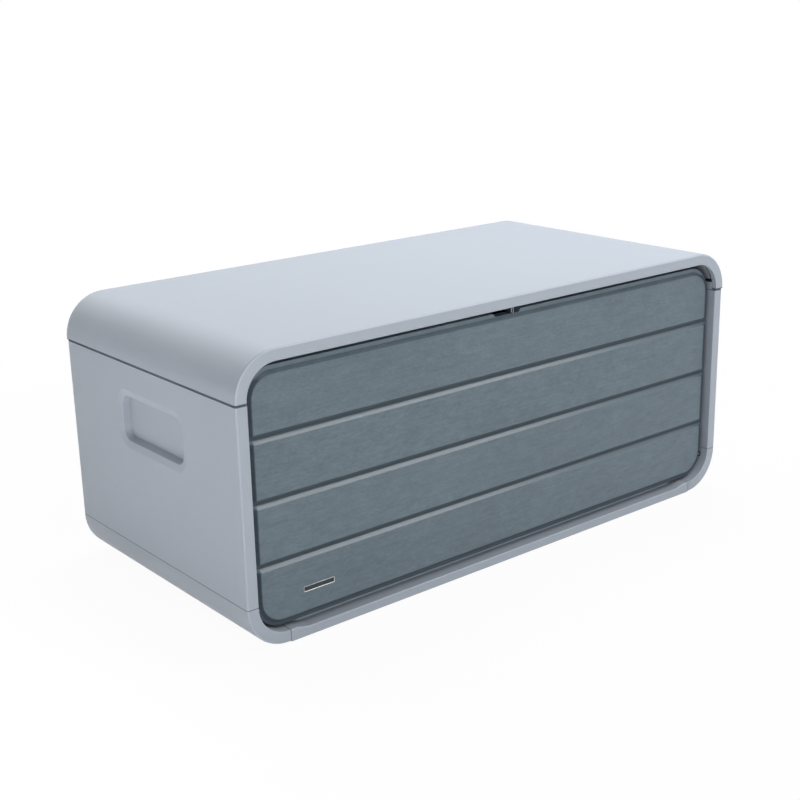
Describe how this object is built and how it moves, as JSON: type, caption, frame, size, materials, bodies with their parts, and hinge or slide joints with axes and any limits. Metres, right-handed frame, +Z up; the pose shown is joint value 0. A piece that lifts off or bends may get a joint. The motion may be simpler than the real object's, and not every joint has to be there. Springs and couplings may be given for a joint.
{
  "type": "outdoor storage box",
  "caption": "Wide double-wall plastic storage box with rounded ends, a lift-up lid on rear hinges, a drop-down planked front door, side handle recesses and a padlock notch.",
  "frame": {"origin": "on the ground under the centre of the box's footprint", "axes": "+X to the right as seen from the front, +Y from the front to the back, +Z up"},
  "size_m": [1.524, 0.736, 0.652],
  "materials": {
    "lid_plastic": "fine-brushed pale grey",
    "body_plastic": "satin cool grey",
    "door_plastic": "wood-grain slate grey",
    "bush_plastic": "smooth",
    "badge_plastic": "gloss",
    "black_rubber": "matt",
    "galvanised_steel": "zinc-plated",
    "stainless_steel": "satin"
  },
  "bodies": {
    "box": {"back_panel": "body_plastic", "back_panel_screws": "stainless_steel", "base_pan": "body_plastic", "centre_hinge_fixed_leaf": "galvanised_steel", "centre_hinge_pin": "galvanised_steel", "front_rail": "body_plastic", "front_rail_screws": "stainless_steel", "hinge_fixed_leaf_screws": "stainless_steel", "left_door_pivot_bush": "bush_plastic", "left_front_post": "body_plastic", "left_hinge_fixed_leaf": "galvanised_steel", "left_hinge_pin": "galvanised_steel", "left_rear_post": "body_plastic", "left_side_panel": "body_plastic", "left_top_strip": "body_plastic", "lid_rest_pads": "black_rubber", "post_screws": "stainless_steel", "right_door_pivot_bush": "bush_plastic", "right_front_post": "body_plastic", "right_hinge_fixed_leaf": "galvanised_steel", "right_hinge_pin": "galvanised_steel", "right_rear_post": "body_plastic", "right_side_panel": "body_plastic", "right_top_strip": "body_plastic", "side_panel_screws": "stainless_steel"},
    "lid": {"centre_hinge_moving_leaf": "galvanised_steel", "hinge_moving_leaf_screws": "stainless_steel", "left_hinge_moving_leaf": "galvanised_steel", "lid_front_stiffener": "galvanised_steel", "lid_inner_liner": "lid_plastic", "lid_liner_screws": "stainless_steel", "lid_lock_tab": "stainless_steel", "lid_lock_tab_screws": "stainless_steel", "lid_outer_shell": "lid_plastic", "lid_rear_stiffener": "galvanised_steel", "right_hinge_moving_leaf": "galvanised_steel"},
    "door": {"door_badge_plate": "badge_plastic", "door_inner_panel": "door_plastic", "door_lock_tab": "stainless_steel", "door_lock_tab_screws": "stainless_steel", "door_outer_panel": "door_plastic", "door_panel_screws": "stainless_steel", "left_door_pivot_pin": "galvanised_steel", "right_door_pivot_pin": "galvanised_steel"}
  },
  "joints": [
    {"name": "lid_hinge", "type": "hinge", "parent": "box", "child": "lid", "pos_m": [0, 0.36, 0.6175], "axis": [-1, 0, 0], "range_deg": [0, 95]},
    {"name": "door_hinge", "type": "hinge", "parent": "box", "child": "door", "pos_m": [0, -0.338, 0.084], "axis": [1, 0, 0], "range_deg": [0, 90]}
  ]
}
